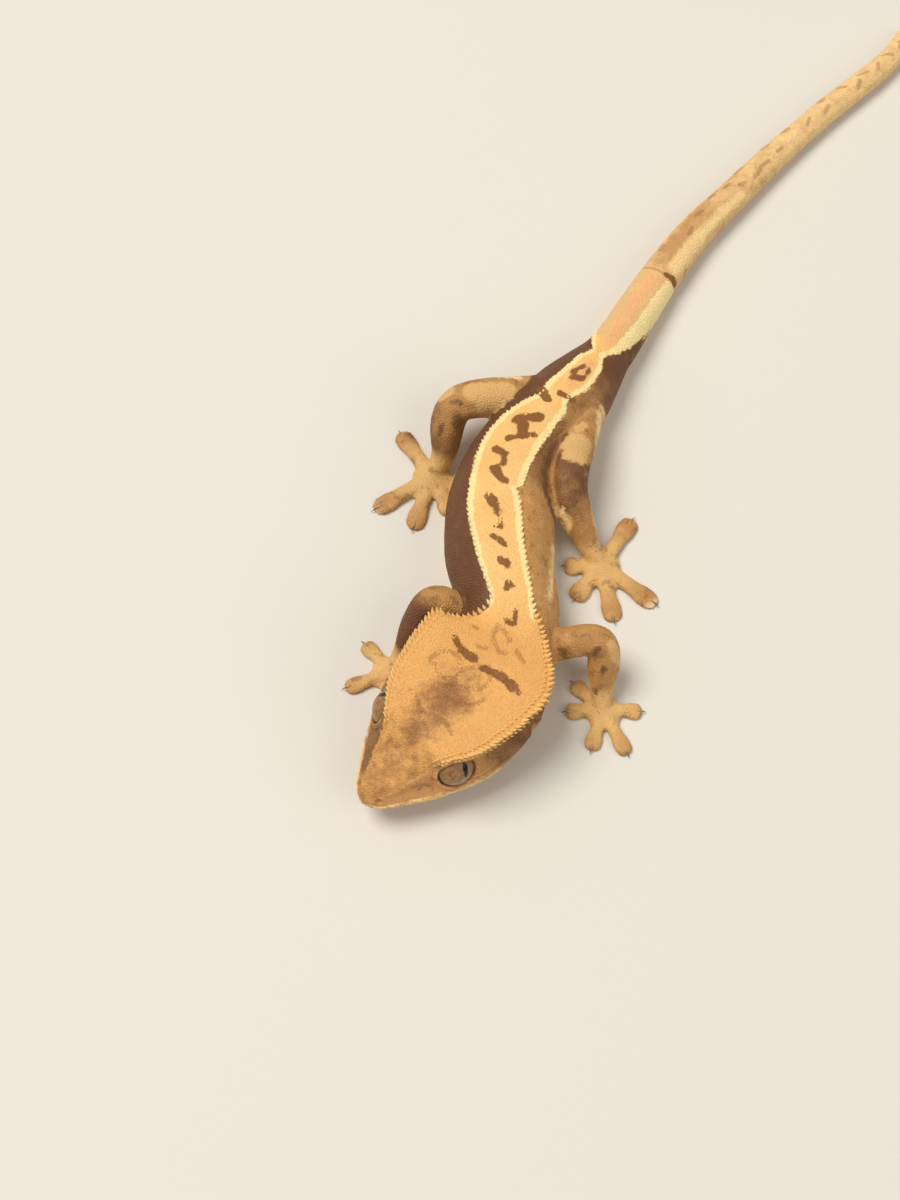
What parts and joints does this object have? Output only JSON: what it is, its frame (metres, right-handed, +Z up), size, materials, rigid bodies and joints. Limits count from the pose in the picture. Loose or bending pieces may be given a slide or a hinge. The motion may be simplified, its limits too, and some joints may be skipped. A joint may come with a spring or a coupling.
{
  "type": "crested gecko",
  "caption": "Life-size still model of a crested gecko lying flat, head turned to its right, limbs spread, with eyelash crests and a long tail.",
  "frame": {"origin": "on the floor under the middle of the gecko's footprint", "axes": "+Z up, +Y along the body from the head's end towards the tail, +X towards the animal's left side"},
  "size_m": [0.0954, 0.1398, 0.0141],
  "materials": {
    "head_skin": "fine granular skin, golden tan",
    "body_skin": "fine granular skin, cream stripe over brown flanks",
    "limb_skin": "fine granular skin, tan brown",
    "tail_skin": "fine granular skin, pale tan",
    "eye": "wet gloss, lidless, upright slit pupil"
  },
  "bodies": {
    "root": {"head": "head_skin", "neck": "body_skin", "torso_front": "body_skin", "torso_rear": "body_skin", "tail_base": "tail_skin", "tail_middle": "tail_skin", "tail_tip": "tail_skin", "eye_left": "eye", "eye_right": "eye", "left_upper_arm": "limb_skin", "left_forearm": "limb_skin", "left_hand": "limb_skin", "left_thigh": "limb_skin", "left_shin": "limb_skin", "left_foot": "limb_skin", "right_upper_arm": "limb_skin", "right_forearm": "limb_skin", "right_hand": "limb_skin", "right_thigh": "limb_skin", "right_shin": "limb_skin", "right_foot": "limb_skin"}
  },
  "joints": []
}
